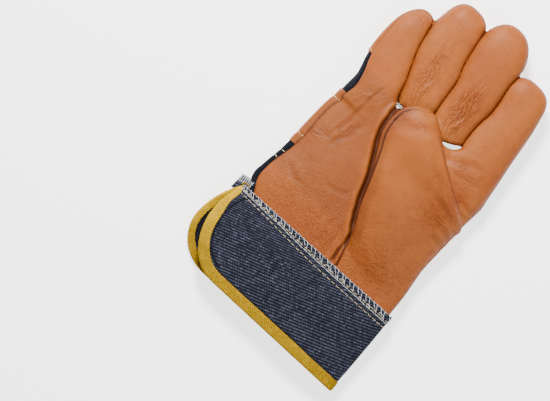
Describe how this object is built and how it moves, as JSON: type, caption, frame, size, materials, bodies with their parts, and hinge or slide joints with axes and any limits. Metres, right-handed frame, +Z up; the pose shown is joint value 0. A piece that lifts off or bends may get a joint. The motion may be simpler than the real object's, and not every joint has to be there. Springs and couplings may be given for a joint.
{
  "type": "leather work glove",
  "caption": "Right-hand leather work glove lying palm up, thumb folded over, with a denim back and a bound denim safety cuff.",
  "frame": {"origin": "under the middle of the glove's bounding box, on the surface that the glove lies on", "axes": "+Y from the cuff to the finger tips, +X across the palm to the thumb's side, +Z up out of the palm"},
  "size_m": [0.1556, 0.2772, 0.042],
  "materials": {
    "leather": "tan orange full-grain cowhide with a fine pebble grain, satin",
    "denim": "dark navy cotton twill, matte",
    "cuff_denim": "slate blue denim with pale diagonal flecks, matte",
    "binding": "yellow woven cotton tape, matte",
    "tan_thread": "pale tan sewing thread",
    "white_thread": "off-white overlock thread"
  },
  "bodies": {
    "root": {"palm": "leather", "thumb_front": "leather", "thumb_back": "leather", "hand_back": "denim", "knuckle_strap": "leather", "finger_backs": "denim", "tip_cap_little": "leather", "tip_cap_ring": "leather", "tip_cap_middle": "leather", "tip_cap_index": "leather", "cuff": "cuff_denim", "cuff_binding": "binding"}
  },
  "joints": []
}
